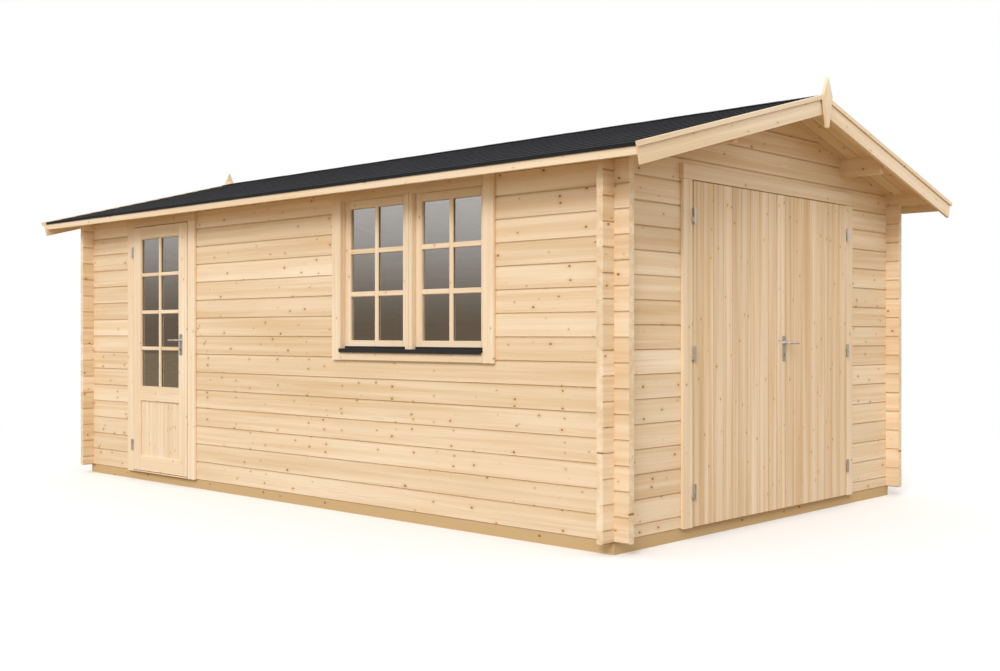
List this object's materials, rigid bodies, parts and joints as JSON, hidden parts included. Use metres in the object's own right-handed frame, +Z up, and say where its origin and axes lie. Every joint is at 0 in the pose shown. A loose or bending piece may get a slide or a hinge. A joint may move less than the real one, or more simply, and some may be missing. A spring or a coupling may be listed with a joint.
{
  "type": "wooden garage",
  "caption": "Gabled log garage with a felted roof, a double garage door in the front gable, and a window and a glazed side door in one long wall.",
  "frame": {"origin": "middle of the base, on the underside of the bearers", "axes": "+X to the right seen from the garage door, +Y from the garage door to the rear gable, +Z up"},
  "size_m": [3.9172, 6.56, 2.8221],
  "materials": {
    "log_wood": "planed spruce logs, untreated",
    "trim_wood": "planed spruce boards, untreated",
    "door_wood": "planed tongued boards, untreated",
    "bearer_wood": "sawn impregnated softwood",
    "roof_felt": "mineral-faced black roofing felt",
    "hardware": "satin zinc and nickel",
    "sill_metal": "black coated sheet",
    "glass": "clear window glass"
  },
  "bodies": {
    "building": {"side_bearers": "bearer_wood", "cross_bearers": "bearer_wood", "left_wall_front": "log_wood", "left_wall_under_window": "log_wood", "left_wall_middle": "log_wood", "left_wall_back": "log_wood", "left_wall_over_openings": "log_wood", "left_plate_log": "log_wood", "right_wall": "log_wood", "right_plate_log": "log_wood", "front_wall_left": "log_wood", "front_wall_right": "log_wood", "front_gable": "log_wood", "rear_wall": "log_wood", "purlin_left": "log_wood", "purlin_right": "log_wood", "roof_boards_left": "trim_wood", "roof_boards_right": "trim_wood", "roof_felt_left": "roof_felt", "roof_felt_right": "roof_felt", "front_barge_left": "trim_wood", "front_barge_right": "trim_wood", "rear_barge_left": "trim_wood", "rear_barge_right": "trim_wood", "verge_laths": "trim_wood", "finials": "trim_wood", "eave_fascia_left": "trim_wood", "eave_fascia_right": "trim_wood", "garage_door_frame": "trim_wood", "side_door_frame": "trim_wood", "hinge_pins": "hardware", "window_frame": "trim_wood", "window_sashes": "trim_wood", "window_glass": "glass", "window_sill": "sill_metal"},
    "garage_leaf_left": {"garage_door_left": "door_wood", "garage_hinges_left": "hardware"},
    "garage_leaf_right": {"garage_door_right": "door_wood", "garage_hinges_right": "hardware", "garage_lock_plates": "hardware"},
    "garage_handle": {"garage_lever": "hardware"},
    "side_leaf": {"side_door_leaf": "trim_wood", "side_door_glass": "glass", "side_door_hinges": "hardware", "side_door_lock_plates": "hardware"},
    "side_handle": {"side_door_lever": "hardware"}
  },
  "joints": [
    {"name": "garage_door_left_hinge", "type": "hinge", "parent": "building", "child": "garage_leaf_left", "pos_m": [-0.9555, -2.927, 1], "axis": [0, 0, -1], "range_deg": [0, 110]},
    {"name": "garage_door_right_hinge", "type": "hinge", "parent": "building", "child": "garage_leaf_right", "pos_m": [0.9555, -2.927, 1], "axis": [0, 0, 1], "range_deg": [0, 110]},
    {"name": "garage_lever_turn", "type": "hinge", "parent": "garage_leaf_right", "child": "garage_handle", "pos_m": [0.084, -2.89, 1.15], "axis": [0, 1, 0], "range_deg": [0, 35], "stiffness_Nm_per_rad": 3, "springref_deg": -28.65},
    {"name": "side_door_hinge", "type": "hinge", "parent": "building", "child": "side_leaf", "pos_m": [-1.717, 2.1325, 1], "axis": [0, 0, -1], "range_deg": [0, 110]},
    {"name": "side_door_lever_turn", "type": "hinge", "parent": "side_leaf", "child": "side_handle", "pos_m": [-1.68, 1.4, 1.16], "axis": [-1, 0, 0], "range_deg": [0, 35], "stiffness_Nm_per_rad": 3, "springref_deg": -28.65}
  ]
}
